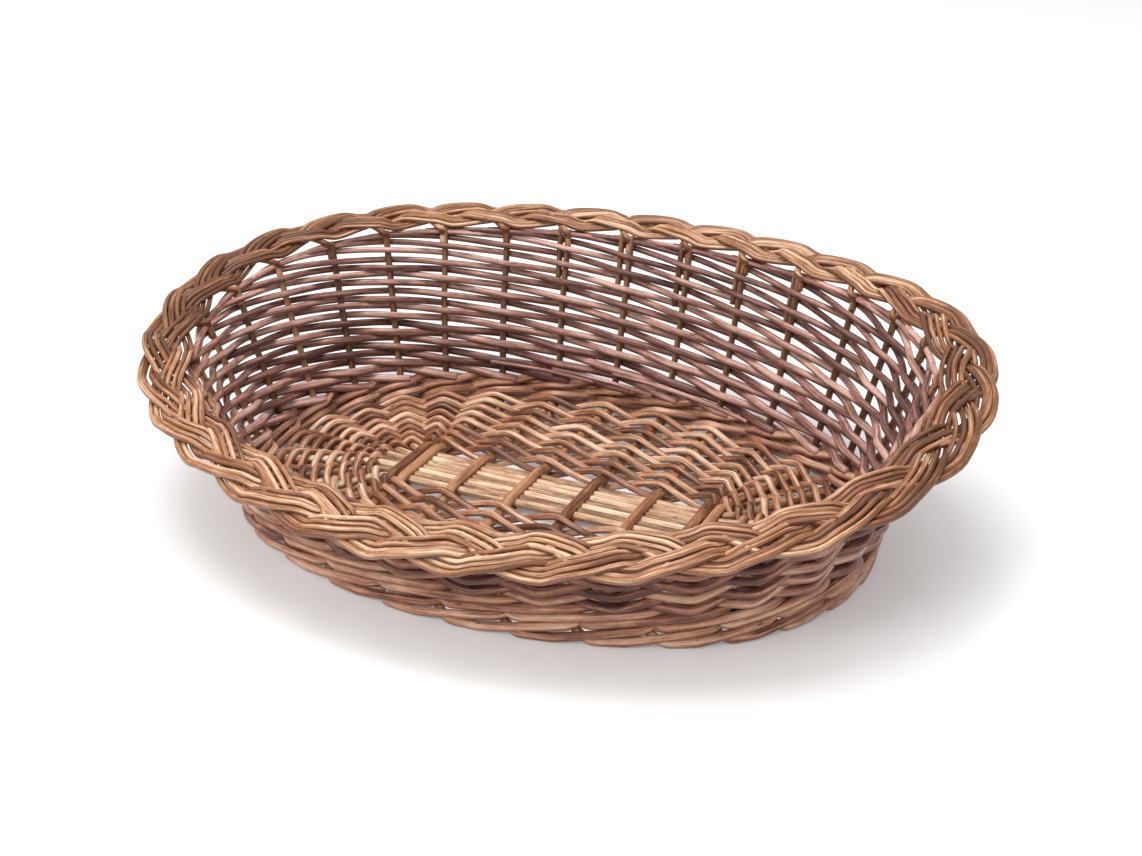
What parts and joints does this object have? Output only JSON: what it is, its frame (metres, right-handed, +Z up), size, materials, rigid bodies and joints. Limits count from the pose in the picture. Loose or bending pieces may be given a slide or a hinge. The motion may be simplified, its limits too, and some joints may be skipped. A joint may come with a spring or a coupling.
{
  "type": "wicker pet bed basket",
  "caption": "Oval willow pet bed basket with flared randed sides, a twined stick base, a dipped front and a flat plaited border.",
  "frame": {"origin": "on the ground under the middle of the base", "axes": "X along the length of the oval, Y from the low front to the high back, Z up"},
  "size_m": [0.6208, 0.4747, 0.1514],
  "materials": {
    "base_sticks": "pale peeled willow, satin",
    "cross_sticks": "buff willow, satin",
    "base_rods": "buff willow, satin",
    "stakes": "buff willow, satin",
    "wale_rods": "buff willow, satin",
    "side_rods": "buff willow, satin",
    "border_rods": "buff willow, satin"
  },
  "bodies": {
    "root": {"base_row_01": "base_rods", "base_row_02": "base_rods", "base_row_03": "base_rods", "base_row_04": "base_rods", "base_row_05": "base_rods", "base_row_06": "base_rods", "base_row_07": "base_rods", "base_row_08": "base_rods", "border_strand_inner": "border_rods", "border_strand_middle": "border_rods", "border_strand_outer": "border_rods", "cross_stick_1": "cross_sticks", "cross_stick_2": "cross_sticks", "cross_stick_3": "cross_sticks", "cross_stick_4": "cross_sticks", "cross_stick_5": "cross_sticks", "cross_stick_6": "cross_sticks", "cross_stick_7": "cross_sticks", "cross_stick_8": "cross_sticks", "foot_wale_lower": "wale_rods", "foot_wale_upper": "wale_rods", "long_stick_1": "base_sticks", "long_stick_2": "base_sticks", "long_stick_3": "base_sticks", "long_stick_4": "base_sticks", "long_stick_5": "base_sticks", "long_stick_6": "base_sticks", "long_stick_7": "base_sticks", "side_row_1": "side_rods", "side_row_2": "side_rods", "side_row_3": "side_rods", "side_row_4": "side_rods", "side_row_5": "side_rods", "side_row_6": "side_rods", "side_row_7": "side_rods", "side_row_8": "side_rods", "side_row_9": "side_rods", "stakes_back": "stakes", "stakes_front": "stakes", "stakes_left": "stakes", "stakes_right": "stakes"}
  },
  "joints": []
}
